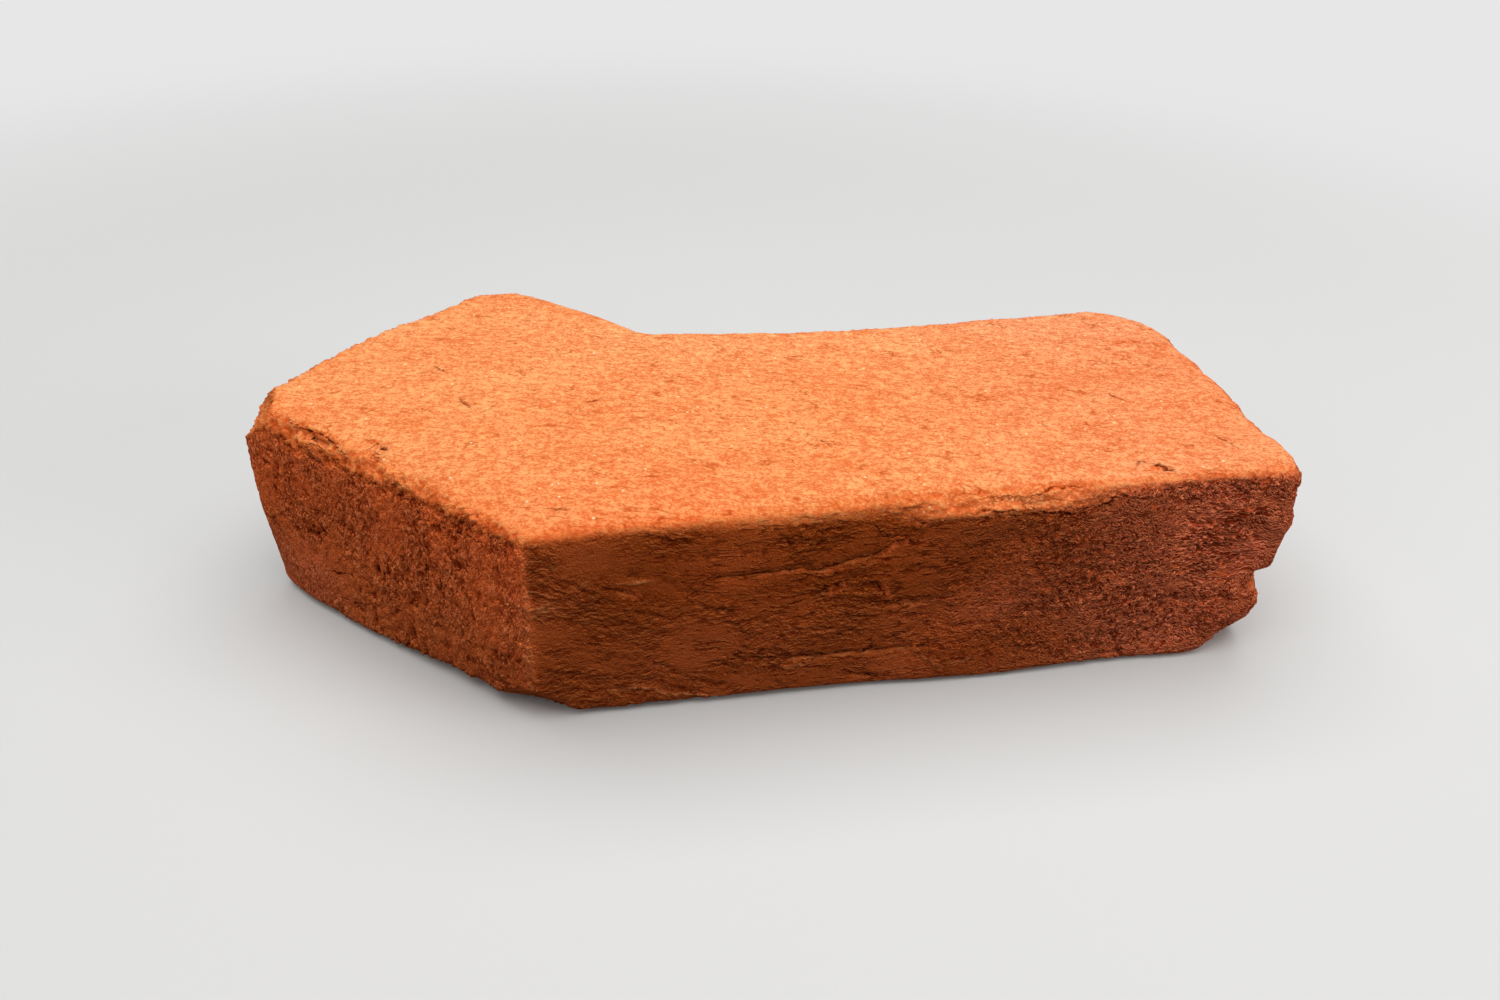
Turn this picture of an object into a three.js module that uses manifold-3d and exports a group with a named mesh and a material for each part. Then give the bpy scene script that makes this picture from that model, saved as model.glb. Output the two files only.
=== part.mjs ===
// Angle brick (dogleg) of hand-moulded clay, solid, without frog or perforations.
//
// Two legs of one width meet at an obtuse bend in plan. The long leg shows a stretcher
// face and the short leg a header face on the outside of the bend. The clay was thrown
// in a mould, so every side bows a little, the arrises are rounded, the faces are creased
// where the clay folded over itself, and the corners that took knocks are worn.
//
// Units are millimetres and +Z is up. The origin lies on the lower bed, where the centre
// lines of the two legs meet, and +X runs along the centre line of the long leg.

import * as THREE from 'three';
import { mergeVertices } from 'three/addons/utils/BufferGeometryUtils.js';
import Module from 'manifold-3d';

const wasm = await Module();
wasm.setup();

// Driving dimensions

const longFaceLength = 208;     // outer face of the long leg, from the bend to its end
const shortFaceLength = 105;    // outer face of the short leg, from the bend to its end
const legWidth = 102.5;         // across either leg, on the bed
const brickHeight = 64;         // lower bed to upper bed
const bendAngle = 42;           // degrees that the short leg turns off the long leg's line
const longEndSkew = -0.9;       // how much further the long end's inner corner reaches
const shortEndSkew = -1.8;      // the same at the short end

// Corner radii in plan

const bendRadius = 1.6;         // outside of the bend
const longOuterRadius = 2.5;    // long end, at the stretcher face
const longInnerRadius = 20;     // long end, at the inner face
const insideBendRadius = 16;    // inside of the bend
const shortInnerRadius = 15;    // short end, at the inner face
const shortOuterRadius = 2;     // short end, at the header face

// Bow of each face at its middle, outwards positive

const stretcherBow = 1.5;
const longEndBow = 0.9;
const longInnerBow = -4.9;
const shortInnerBow = 2.9;
const shortEndBow = 4;
const headerBow = 0.2;

// Arrises and beds

const upperArris = 4;           // rounding of the upper edges
const lowerArris = 3;           // rounding of the lower edges
const bedMargin = 20;           // border of each bed that falls away to its arris
const upperEdgeFall = 0.3;      // how far the upper bed falls at its edge
const lowerEdgeFall = 0.3;      // how far the lower bed lifts at its edge
const bendDroop = 2.4;          // extra fall of the upper bed at the outside of the bend
const bendDroopReach = 34;      // distance along the edge over which that fall dies out
const bendLift = 2.2;           // extra lift of the lower bed beside the outside of the bend
const bendLiftAlong = -20;      // where it is greatest, along the header face
const bendLiftReach = 26;       // distance along the edge over which that lift dies out

// Softer stretches of the upper arris. Each is measured along the face that starts at a corner,
// and dies out over its reach. Extra is added to the rounding there.
const softArrises = [
  { corner: 'bendOutside', along: 106, reach: 62, extra: 5 },     // middle of the stretcher face
  { corner: 'shortOuter', along: 46, reach: 44, extra: 3 },       // header face
];

// Hand-moulded waviness of the side faces

const waveHeight = 0.5;
const waveLength = 71;          // along a face
const waveRise = 47;            // up a face

// Places where the wet clay stands out from a face or sinks into it. Each is measured from a
// corner: along the face that starts there, or back along the one before where negative.
// Its reach is the distance along the face over which it dies out, and its rise the same up it.
const swells = [
  { corner: 'bendOutside', along: -4, up: 17, reach: 17, rise: 15, out: 1.7 },    // foot of the bend
  { corner: 'longOuter', along: -30, up: 0, reach: 30, rise: 14, out: 1.6 },      // slumped stretcher foot
  { corner: 'longInner', along: 52, up: 56, reach: 26, rise: 30, out: 1.8 },      // inner face, far part
  { corner: 'bendInside', along: 6, up: 62, reach: 16, rise: 14, out: 0.9 },      // lip in the inside bend
  { corner: 'shortInner', along: 62, up: 60, reach: 30, rise: 26, out: 1.1 },     // short end
  { corner: 'longOuter', along: 56, up: 60, reach: 26, rise: 26, out: 0.9 },      // long end
  { corner: 'shortOuter', along: 40, up: 0, reach: 34, rise: 18, out: 1.3 },      // header foot
  { corner: 'shortOuter', along: 14, up: 5, reach: 14, rise: 11, out: 1.4 },      // its end
  { corner: 'shortOuter', along: 0, up: 6, reach: 9, rise: 12, out: -1.6 },       // foot of the short end
  { corner: 'shortOuter', along: -3, up: 32, reach: 12, rise: 22, out: 0.8 },     // short end above it
  { corner: 'shortInner', along: 23, up: 60, reach: 14, rise: 26, out: -1.4 },    // hollow in the short end
  { corner: 'longInner', along: 70, up: 62, reach: 46, rise: 30, out: 1.4 },      // inner face, middle
  { corner: 'longOuter', along: 2, up: 37, reach: 9, rise: 8, out: 1 },           // lump over the notch
  { corner: 'longOuter', along: 0, up: 16, reach: 10, rise: 7, out: -1.5 },       // hollow under it
  { corner: 'bendOutside', along: 118, up: 0, reach: 24, rise: 12, out: 1 },      // stretcher foot
  { corner: 'bendOutside', along: 68, up: 0, reach: 22, rise: 12, out: -0.7 },    // hollow beside it
];

// Knocks: each takes a rough lump out of a corner. The lump's middle lies outwards from the
// corner, sideways towards the face that starts there, and up from the lower bed or, where
// fromTop is set, from the upper one. Its size is its half-width in those three directions.
const knocks = [
  { corner: 'bendOutside', outwards: 9, sideways: -6, up: -8, size: [16, 30, 24] },      // foot of the bend
  { corner: 'longOuter', outwards: 12, sideways: -8, up: -8, size: [25, 28.5, 25] },      // foot of the end
  { corner: 'longOuter', outwards: 4, sideways: 0, up: 24.5, size: [10.5, 10, 5] },      // notch above it
  {
    // top of the short end
    corner: 'shortOuter', outwards: 14, sideways: -6, up: 7, fromTop: true, size: [27, 22, 22],
  },
];

// Creases, where the wet clay folded over itself. Each runs through places on the side face that
// starts at its corner, rounded arrises included, given along that face and up from the lower bed.
const creases = [
  // stretcher face
  {
    corner: 'bendOutside', width: 1.6, depth: 1.4,
    through: [
      [38, 46], [47, 44.6], [57, 44.8], [71, 45.5], [75, 44], [83, 46.8], [90, 47.7], [95, 52], [101, 53],
    ],
  },
  { corner: 'bendOutside', width: 1.5, depth: 1.2, through: [[40, 37.5], [45, 34.8], [49, 34], [56, 34.5]] },
  {
    corner: 'bendOutside', width: 1.5, depth: 1.3,
    through: [[44, 17.5], [58, 15.5], [79, 14], [100, 14], [113, 15.3], [120, 18]],
  },
  { corner: 'bendOutside', width: 1.5, depth: 1.2, through: [[69, 37], [76, 36.2], [79, 38.6], [84, 38.8]] },
  { corner: 'bendOutside', width: 1.5, depth: 1.2, through: [[88, 40], [91, 38], [93, 34.3], [95, 32.5]] },
  {
    corner: 'bendOutside', width: 1.5, depth: 1.2,
    through: [[85, 32.5], [102, 30], [110, 31], [117, 31.8]],
  },
  { corner: 'bendOutside', width: 1.7, depth: 1.3, through: [[20, 44], [24, 42], [29, 40]] },
  { corner: 'bendOutside', width: 1.5, depth: 1.2, through: [[82, 6.2], [91, 4.6], [100, 2.8]] },
  { corner: 'bendOutside', width: 1.5, depth: 1.2, through: [[160, 4], [165, 4], [170, 3.8]] },
  // arris above it
  {
    corner: 'bendOutside', width: 1.8, depth: 1.5,
    through: [
      [101, 62.8], [110, 60.6], [118, 60.6], [124, 61.6], [128, 59.8], [133, 59.4], [141, 61], [151, 61.8],
    ],
  },
  // header face
  { corner: 'shortOuter', width: 2.2, depth: 1.2, through: [[69.5, 39], [68.5, 30], [66, 17]] },
  { corner: 'shortOuter', width: 1.5, depth: 1.2, through: [[64, 2.5], [72, 4], [79, 4.2]] },
  // arris above it, where a lip of clay has split off along the far half
  {
    corner: 'shortOuter', width: 2, depth: 2.3,
    through: [[7, 62.3], [16, 62.6], [26, 62.8], [36, 62.2], [44, 62]],
  },
  {
    corner: 'shortOuter', width: 1.8, depth: 1.5,
    through: [[58, 57.5], [66, 60], [72, 61], [79, 60.8], [88, 58.6], [96, 56.5]],
  },
  // inner faces
  { corner: 'longInner', width: 1.6, depth: 1.3, through: [[46, 41], [64, 38], [83, 39.5], [104, 35]] },
  { corner: 'longInner', width: 1.5, depth: 1.2, through: [[112, 19], [128, 16], [146, 18.5]] },
  { corner: 'bendInside', width: 1.5, depth: 1.2, through: [[18, 43], [27, 40.5], [40, 41.5]] },
];

// Pits, where a stone or a lump of clay came away. Each is placed as a crease is or, where no
// corner is named, at x and y on the upper bed. Its size is its length along the face, or along x
// on the bed, its width and its depth.
const pits = [
  { at: [148, -45.5], size: [5.4, 2.6, 1.5] },
  { at: [-59, -6], size: [6, 4, 1.6] },
  { at: [-54, -13], size: [5, 5, 1.4] },
  { at: [166, -18], size: [8, 6, 0.8] },
  { at: [184.5, -22], size: [7, 2.6, 1.2] },
  { at: [14, 52], size: [9, 4, 1] },
  { corner: 'shortOuter', at: [60.5, 34], size: [5, 4.6, 0.9] },
  { corner: 'shortOuter', at: [63, 22.5], size: [3.4, 6, 0.9] },
  { corner: 'shortOuter', at: [71, 18.5], size: [4.4, 5, 0.9] },
  { corner: 'bendOutside', at: [150, 6.5], size: [3.6, 2.6, 1.1] },
];

// Fineness of the solid

const edgeSpacing = 6;          // distance between points along a face
const sideSteps = 6;            // rows of facets up a face
const arrisSteps = 4;           // rows of facets round an arris
const marginSteps = 3;          // rows of facets across a bed's border
const lumpSteps = 3;            // fineness of a broken face
const pitSteps = 1;             // fineness of a pit
const creaseSpacing = 4;        // distance between rings of points along a crease
const creaseSides = 6;          // points in such a ring

// Broken faces

const lumpRoughness = 0.1;      // share of a lump's size
const crumbSpacing = 9.5;       // along the header face's upper arris
const crumbSize = 9;
const crumbStretch = 1.3;       // how much longer a crumb is along the arris
const crumbBite = 3.6;          // from where the arris would be sharp
const crumbVariety = 0.25;      // share by which spacing, size and bite differ

const colour = 0xc4602c;

// Plan

const bend = THREE.MathUtils.degToRad(bendAngle);
const mitre = legWidth / 2 * Math.tan(bend / 2);    // from the centre line's bend to the outer corner
const shortAlong = new THREE.Vector2(-Math.cos(bend), Math.sin(bend));
const shortAcross = new THREE.Vector2(Math.sin(bend), Math.cos(bend));

function onShortLeg(along, across) {
  return shortAlong.clone().multiplyScalar(along).addScaledVector(shortAcross, across);
}

const half = legWidth / 2;
const longReach = longFaceLength - mitre;
const shortReach = shortFaceLength - mitre;

// Corners run anticlockwise, and each face starts at its corner.
const cornerNamed = {
  bendOutside: {
    at: new THREE.Vector2(-mitre, -half), radius: bendRadius, bow: stretcherBow,
  },
  longOuter: {
    at: new THREE.Vector2(longReach, -half), radius: longOuterRadius, bow: longEndBow,
  },
  longInner: {
    at: new THREE.Vector2(longReach + longEndSkew, half), radius: longInnerRadius, bow: longInnerBow,
  },
  bendInside: {
    at: new THREE.Vector2(mitre, half), radius: insideBendRadius, bow: shortInnerBow,
  },
  shortInner: {
    at: onShortLeg(shortReach + shortEndSkew, half), radius: shortInnerRadius, bow: shortEndBow,
  },
  shortOuter: {
    at: onShortLeg(shortReach, -half), radius: shortOuterRadius, bow: headerBow,
  },
};
const corners = Object.values(cornerNamed);

corners.forEach((corner, i) => {
  const next = corners[(i + 1) % corners.length].at;
  corner.length = next.distanceTo(corner.at);
  corner.along = next.clone().sub(corner.at).normalize();
  corner.out = new THREE.Vector2(corner.along.y, -corner.along.x);
});

corners.forEach((corner, i) => {
  const before = corners[(i + corners.length - 1) % corners.length];
  corner.before = before;
  corner.turn = Math.atan2(before.out.cross(corner.out), before.out.dot(corner.out));
});

// Stations are the places round the plan at which the skin has a column of points. One is
// either on a corner's arc (turned: 0 to 1 of the turn) or along a face (0 to 1 of its straight).
function makeStations() {
  const stations = [];
  for (const [i, corner] of corners.entries()) {
    const arcSteps = Math.max(3, Math.round(corner.radius * Math.abs(corner.turn) / 3));
    for (let step = 0; step <= arcSteps; step += 1) {
      stations.push({ corner: i, turned: step / arcSteps });
    }
    const faceSteps = Math.round(corner.length / edgeSpacing);
    for (let step = 1; step < faceSteps; step += 1) {
      stations.push({ corner: i, along: step / faceSteps });
    }
  }
  return stations;
}

const smallestRadius = 0.3;

// Centre of a corner's arc, its radius and how far it cuts back each face, for a plan
// that is drawn in by an inset all round.
function arcOf(corner, inset) {
  const { at, out, before, turn } = corner;
  const inwards = out.clone().add(before.out).multiplyScalar(-1 / (1 + out.dot(before.out)));
  const vertex = at.clone().addScaledVector(inwards, inset);
  const side = Math.sign(turn);
  const radius = Math.max(corner.radius - side * inset, smallestRadius);
  const centre = vertex.addScaledVector(inwards, side * radius);
  return { centre, radius, side };
}

function bowOf(corner, point) {
  const share = THREE.MathUtils.clamp(
    point.clone().sub(corner.at).dot(corner.along) / corner.length, 0, 1);
  return corner.bow * Math.sin(Math.PI * share);
}

// Point of the plan at a station, with the way out from there.
function planPoint(station, inset) {
  const corner = corners[station.corner];
  const arc = arcOf(corner, inset);
  if (station.turned !== undefined) {
    const out = corner.before.out.clone().rotateAround(new THREE.Vector2(), station.turned * corner.turn);
    const point = arc.centre.clone().addScaledVector(out, arc.side * arc.radius);
    const bowBefore = bowOf(corner.before, point) * (1 - station.turned);
    const bowAfter = bowOf(corner, point) * station.turned;
    point.addScaledVector(corner.before.out, bowBefore).addScaledVector(corner.out, bowAfter);
    return { point, out };
  }
  const nextArc = arcOf(corners[(station.corner + 1) % corners.length], inset);
  const start = arc.centre.clone().addScaledVector(corner.out, arc.side * arc.radius);
  const end = nextArc.centre.clone().addScaledVector(corner.out, nextArc.side * nextArc.radius);
  const point = start.lerp(end, station.along);
  point.addScaledVector(corner.out, bowOf(corner, point));
  return { point, out: corner.out };
}

// Place on the faces that meet at a corner, at a distance along the one after or before it.
function alongFace(corner, distance) {
  const face = distance < 0 ? corner.before : corner;
  return corner.at.clone().addScaledVector(face.along, distance);
}

// Falls from 1 at a place to nothing at a few times its reach.
function fade(point, place, reach) {
  return Math.exp(-((point.distanceTo(place) / reach) ** 2));
}

// Rises 0 to 1 from the arris to the flat of a bed.
function acrossMargin(inset, arris) {
  return THREE.MathUtils.clamp((inset - arris) / (bedMargin - arris), 0, 1);
}

function upperArrisAt(point) {
  return softArrises.reduce((radius, { corner, along, reach, extra }) => (
    radius + extra * fade(point, alongFace(cornerNamed[corner], along), reach)), upperArris);
}

function upperZ(point, inset, arris) {
  const rim = (1 - acrossMargin(inset, arris)) ** 2;
  return brickHeight - rim * (upperEdgeFall + bendDroop * fade(point, corners[0].at, bendDroopReach));
}

function lowerZ(point, inset) {
  const rim = (1 - acrossMargin(inset, lowerArris)) ** 2;
  return rim * (lowerEdgeFall + bendLift * fade(point, alongFace(corners[0], bendLiftAlong), bendLiftReach));
}

function swellAt(point, z) {
  let out = 0;
  for (const swell of swells) {
    const up = (z - swell.up) / swell.rise;
    out += swell.out * fade(point, alongFace(cornerNamed[swell.corner], swell.along), swell.reach)
      * Math.exp(-up * up);
  }
  return out;
}

function wave(point, z) {
  const run = (point.x + point.y * 0.6) * 2 * Math.PI / waveLength;
  const rise = z * 2 * Math.PI / waveRise;
  return waveHeight * (Math.sin(run + Math.sin(rise)) + 0.5 * Math.sin(1.7 * run - rise)) / 1.5;
}

// One column of points from the flat of the lower bed, up the side, to that of the upper bed.
function columnAt(station) {
  const column = [];
  const arris = upperArrisAt(planPoint(station, 0).point);
  const addPoint = (inset, z, waveShare) => {
    const { point, out } = planPoint(station, inset);
    const height = z(point);
    point.addScaledVector(out, waveShare * wave(point, height) + swellAt(point, height));
    column.push(new THREE.Vector3(point.x, point.y, height));
  };
  for (let step = 0; step < marginSteps; step += 1) {
    const inset = THREE.MathUtils.lerp(bedMargin, lowerArris, step / marginSteps);
    addPoint(inset, point => lowerZ(point, inset), 0);
  }
  for (let step = 0; step < arrisSteps; step += 1) {
    const angle = step / arrisSteps * Math.PI / 2;
    const inset = lowerArris * (1 - Math.sin(angle));
    addPoint(inset, point => lowerZ(point, 0) + lowerArris * (1 - Math.cos(angle)), Math.sin(angle));
  }
  for (let step = 0; step <= sideSteps; step += 1) {
    const up = step / sideSteps;
    addPoint(0, point => THREE.MathUtils.lerp(
      lowerZ(point, 0) + lowerArris, upperZ(point, 0, arris) - arris, up), 1);
  }
  for (let step = 1; step <= arrisSteps; step += 1) {
    const angle = step / arrisSteps * Math.PI / 2;
    const inset = arris * (1 - Math.cos(angle));
    addPoint(inset, point => upperZ(point, 0, arris) - arris * (1 - Math.sin(angle)), Math.cos(angle));
  }
  for (let step = 1; step <= marginSteps; step += 1) {
    const inset = THREE.MathUtils.lerp(arris, bedMargin, step / marginSteps);
    addPoint(inset, point => upperZ(point, inset, arris), 0);
  }
  return column;
}

// Skin through all columns, closed by the two flat beds.
function mouldedBody() {
  const columns = makeStations().map(columnAt);
  const rows = columns[0].length;
  const positions = columns.flat().flatMap(point => point.toArray());
  const index = [];
  columns.forEach((column, i) => {
    const here = i * rows;
    const next = (i + 1) % columns.length * rows;
    for (let row = 0; row < rows - 1; row += 1) {
      index.push(here + row, next + row, next + row + 1);
      index.push(here + row, next + row + 1, here + row + 1);
    }
  });
  const bed = row => columns.map(column => new THREE.Vector2(column[row].x, column[row].y));
  for (const [a, b, c] of THREE.ShapeUtils.triangulateShape(bed(0), [])) {
    index.push(a * rows, c * rows, b * rows);
  }
  for (const [a, b, c] of THREE.ShapeUtils.triangulateShape(bed(rows - 1), [])) {
    const top = rows - 1;
    index.push(a * rows + top, b * rows + top, c * rows + top);
  }
  const geometry = new THREE.BufferGeometry();
  geometry.setAttribute('position', new THREE.Float32BufferAttribute(positions, 3));
  geometry.setIndex(index);
  return geometry;
}

function solidOf(geometry) {
  geometry.deleteAttribute('normal');
  geometry.deleteAttribute('uv');
  const merged = mergeVertices(geometry);
  return new wasm.Manifold(new wasm.Mesh({
    numProp: 3,
    vertProperties: merged.attributes.position.array,
    triVerts: Uint32Array.from(merged.index.array),
  }));
}

function geometryOf(solid) {
  const mesh = solid.getMesh();
  const geometry = new THREE.BufferGeometry();
  geometry.setAttribute('position', new THREE.BufferAttribute(mesh.vertProperties, 3));
  geometry.setIndex(new THREE.BufferAttribute(mesh.triVerts, 1));
  return geometry;
}

// Ball of radius 1 with a dented skin. The seed turns the dents, so no two look alike.
function dentedBall(seed, steps) {
  const ball = new THREE.IcosahedronGeometry(1, steps);
  const places = ball.attributes.position;
  const spot = new THREE.Vector3();
  for (let i = 0; i < places.count; i += 1) {
    spot.fromBufferAttribute(places, i);
    const dents = Math.sin(4 * spot.x + seed) + Math.sin(5 * spot.y + 2 * seed)
      + Math.sin(6 * spot.z + 3 * seed);
    spot.multiplyScalar(1 + lumpRoughness * dents / 3);
    places.setXYZ(i, spot.x, spot.y, spot.z);
  }
  return ball;
}

// Lump whose half-widths are given outwards, sideways and up.
function lumpAt(middle, up, outwards, size, seed) {
  const sideways = new THREE.Vector2(-outwards.y, outwards.x);
  const place = new THREE.Matrix4().makeBasis(
    new THREE.Vector3(outwards.x, outwards.y, 0),
    new THREE.Vector3(sideways.x, sideways.y, 0),
    new THREE.Vector3(0, 0, 1));
  place.setPosition(middle.x, middle.y, up);
  return dentedBall(seed, lumpSteps).scale(...size).applyMatrix4(place);
}

function lumpOf(knock, seed) {
  const { at, out, before } = cornerNamed[knock.corner];
  const outwards = out.clone().add(before.out).normalize();
  const sideways = new THREE.Vector2(-outwards.y, outwards.x);
  const middle = at.clone().addScaledVector(outwards, knock.outwards)
    .addScaledVector(sideways, knock.sideways);
  return lumpAt(middle, knock.up + (knock.fromTop ? brickHeight : 0), outwards, knock.size, seed);
}

// The header face's upper arris has crumbled: uneven lumps are out of it all the way along.
function crumbs() {
  const { at, along, length, out } = cornerNamed.shortOuter;
  const count = Math.round(length / crumbSpacing);
  return Array.from({ length: count }, (_, i) => {
    const size = crumbSize * (1 + crumbVariety * Math.sin(2.4 * i));
    const bite = crumbBite * (1 + crumbVariety * Math.sin(3.7 * i + 1));
    const away = (size - bite) * Math.SQRT1_2;
    const distance = (i + 0.5 + crumbVariety * Math.sin(5.1 * i)) / count * length;
    const middle = at.clone().addScaledVector(along, distance).addScaledVector(out, away);
    return lumpAt(middle, brickHeight + away, out, [size, size * crumbStretch, size], i);
  });
}

// Point of the skin at a place on a side face, rounded arris included, or on the upper bed,
// with the way out of the clay there.
function onSkin(cornerName, along, up) {
  if (!cornerName) {
    return { point: new THREE.Vector3(along, up, brickHeight), out: new THREE.Vector3(0, 0, 1) };
  }
  const corner = cornerNamed[cornerName];
  const foot = alongFace(corner, along);
  const arris = upperArrisAt(foot);
  const tilt = Math.asin(THREE.MathUtils.clamp((up - brickHeight + arris) / arris, 0, 1));
  const outwards = bowOf(corner, foot) - arris * (1 - Math.cos(tilt))
    + wave(foot, up) * Math.cos(tilt) + swellAt(foot, up);
  foot.addScaledVector(corner.out, outwards);
  const out = new THREE.Vector3(
    corner.out.x * Math.cos(tilt), corner.out.y * Math.cos(tilt), Math.sin(tilt));
  return { point: new THREE.Vector3(foot.x, foot.y, up), out };
}

// Tube along a crease that narrows to a point at both ends, with its middle in the skin.
function creaseGeometry({ corner, through, width, depth }) {
  const path = new THREE.CatmullRomCurve3(through.map(([a, b]) => new THREE.Vector3(a, b, 0)));
  const steps = Math.ceil(path.getLength() / creaseSpacing) + 1;
  const middles = path.getSpacedPoints(steps).map(({ x, y }) => onSkin(corner, x, y));
  const positions = [...middles[0].point.toArray(), ...middles[steps].point.toArray()];
  const index = [];
  for (let step = 1; step < steps; step += 1) {
    const { point, out } = middles[step];
    const onwards = middles[step + 1].point.clone().sub(middles[step - 1].point);
    const across = out.clone().cross(onwards).normalize();
    const share = Math.sqrt(Math.sin(Math.PI * step / steps));
    for (let side = 0; side < creaseSides; side += 1) {
      const angle = 2 * Math.PI * side / creaseSides + Math.PI / 2;
      const spot = point.clone().addScaledVector(across, share * width / 2 * Math.cos(angle))
        .addScaledVector(out, share * depth * Math.sin(angle));
      positions.push(...spot.toArray());
      const here = positions.length / 3 - 1;
      const beside = here + 1 - (side === creaseSides - 1 ? creaseSides : 0);
      if (step === 1) {
        index.push(0, beside, here);
      } else {
        index.push(here, here - creaseSides, beside);
        index.push(beside, here - creaseSides, beside - creaseSides);
      }
      if (step === steps - 1) {
        index.push(1, here, beside);
      }
    }
  }
  const geometry = new THREE.BufferGeometry();
  geometry.setAttribute('position', new THREE.Float32BufferAttribute(positions, 3));
  geometry.setIndex(index);
  return geometry;
}

function pitGeometry({ corner, at, size }, seed) {
  const { point, out } = onSkin(corner, ...at);
  const along = corner ? cornerNamed[corner].along : new THREE.Vector2(1, 0);
  const lengthwise = new THREE.Vector3(along.x, along.y, 0);
  const place = new THREE.Matrix4().makeBasis(lengthwise, out.clone().cross(lengthwise), out);
  place.setPosition(point);
  const [length, width, depth] = size;
  return dentedBall(seed, pitSteps).scale(length / 2, width / 2, depth).applyMatrix4(place);
}

function wornBody() {
  const hollows = [
    ...knocks.map(lumpOf), ...crumbs(), ...creases.map(creaseGeometry), ...pits.map(pitGeometry),
  ];
  return hollows.reduce((body, hollow) => body.subtract(solidOf(hollow)), solidOf(mouldedBody()));
}

const brick = new THREE.Mesh(
  geometryOf(wornBody()),
  new THREE.MeshStandardMaterial({ color: colour, roughness: 0.95, metalness: 0 }));
brick.name = 'brick';

const group = new THREE.Group();
group.add(brick);

export default group;
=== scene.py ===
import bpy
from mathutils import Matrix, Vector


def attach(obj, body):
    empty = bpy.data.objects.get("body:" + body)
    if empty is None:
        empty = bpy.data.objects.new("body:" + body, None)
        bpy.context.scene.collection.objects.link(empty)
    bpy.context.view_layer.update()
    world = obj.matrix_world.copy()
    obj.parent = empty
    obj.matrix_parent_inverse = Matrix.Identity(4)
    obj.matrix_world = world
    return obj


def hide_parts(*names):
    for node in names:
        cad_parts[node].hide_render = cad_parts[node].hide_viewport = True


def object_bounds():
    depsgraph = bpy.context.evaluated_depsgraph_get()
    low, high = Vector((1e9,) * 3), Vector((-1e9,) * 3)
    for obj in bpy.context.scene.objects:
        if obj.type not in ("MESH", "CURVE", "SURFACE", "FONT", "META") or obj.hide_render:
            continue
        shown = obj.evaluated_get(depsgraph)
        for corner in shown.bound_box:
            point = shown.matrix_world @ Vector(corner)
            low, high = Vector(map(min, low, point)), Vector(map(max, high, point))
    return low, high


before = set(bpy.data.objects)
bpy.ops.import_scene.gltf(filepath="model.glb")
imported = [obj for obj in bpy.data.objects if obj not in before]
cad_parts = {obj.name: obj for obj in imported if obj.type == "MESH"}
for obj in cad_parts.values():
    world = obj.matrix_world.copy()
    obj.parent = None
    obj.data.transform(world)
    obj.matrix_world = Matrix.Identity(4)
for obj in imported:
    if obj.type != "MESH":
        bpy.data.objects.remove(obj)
cadBox = [list(corner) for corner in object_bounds()]

from math import cos, radians, sin

import bmesh
import bpy
import numpy as np
from mathutils import Matrix, Vector

# Looks of a hand-moulded clay angle brick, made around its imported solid.
# Lengths in the dictionaries are in millimetres unless a note says otherwise.

mm = 0.001
scene = bpy.context.scene


def say(stage):
    print("brick scene:", stage)


# Small helpers that put nodes into a tree and link them.

def feed(tree, socket, value):
    if isinstance(value, bpy.types.NodeSocket):
        tree.links.new(value, socket)
    else:
        socket.default_value = value


def put(tree, kind, inputs=None, **settings):
    node = tree.nodes.new(kind)
    for name, value in settings.items():
        setattr(node, name, value)
    for key, value in (inputs or {}).items():
        feed(tree, node.inputs[key], value)
    return node


def maths(tree, operation, *values):
    return put(tree, "ShaderNodeMath", dict(enumerate(values)), operation=operation).outputs[0]


def vectors(tree, operation, *values):
    node = put(tree, "ShaderNodeVectorMath", dict(enumerate(values)), operation=operation)
    return node.outputs["Value" if operation in ("LENGTH", "DOT_PRODUCT") else "Vector"]


def total(tree, first, *others):
    for other in others:
        first = maths(tree, "ADD", first, other)
    return first


def product(tree, first, *others):
    for other in others:
        first = maths(tree, "MULTIPLY", first, other)
    return first


def ramp(tree, value, low, high, start=0.0, end=1.0, kind="LINEAR"):
    # goes from start to end as the value goes from low to high
    return put(tree, "ShaderNodeMapRange", {
        "Value": value, "From Min": low, "From Max": high, "To Min": start, "To Max": end,
    }, interpolation_type=kind).outputs["Result"]


def ease(tree, value, low, high, start=0.0, end=1.0):
    return ramp(tree, value, low, high, start, end, "SMOOTHSTEP")


def fade(tree, value, low, high):
    return ease(tree, value, low, high, 1.0, 0.0)


def opposite(tree, share):
    return maths(tree, "SUBTRACT", 1.0, share)


def bell(tree, distance, sharpness=1.0):
    return maths(tree, "EXPONENT", product(tree, distance, distance, -sharpness))


def noise(tree, place, size, stretch=(1, 1, 1), detail=2.0, roughness=0.5, distortion=0.0, shift=0.0):
    # about -1 to 1; size is a lump's width, stretch lengthens it along an axis, shift picks another pattern
    scale = Vector([1 / (size * share) for share in stretch])
    moved = vectors(tree, "MULTIPLY_ADD", place, scale, Vector((shift, 1.7 * shift, 2.3 * shift)))
    node = put(tree, "ShaderNodeTexNoise", {
        "Vector": moved, "Scale": 1.0, "Detail": detail, "Roughness": roughness, "Distortion": distortion,
    })
    return maths(tree, "MULTIPLY_ADD", node.outputs[0], 7.0, -3.5)


def billows(tree, *args, **kwargs):
    # round ridges parted by sharp grooves, 0 in a groove to about 1 on a ridge
    return maths(tree, "POWER", maths(tree, "ABSOLUTE", noise(tree, *args, **kwargs)), 0.6)


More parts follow.
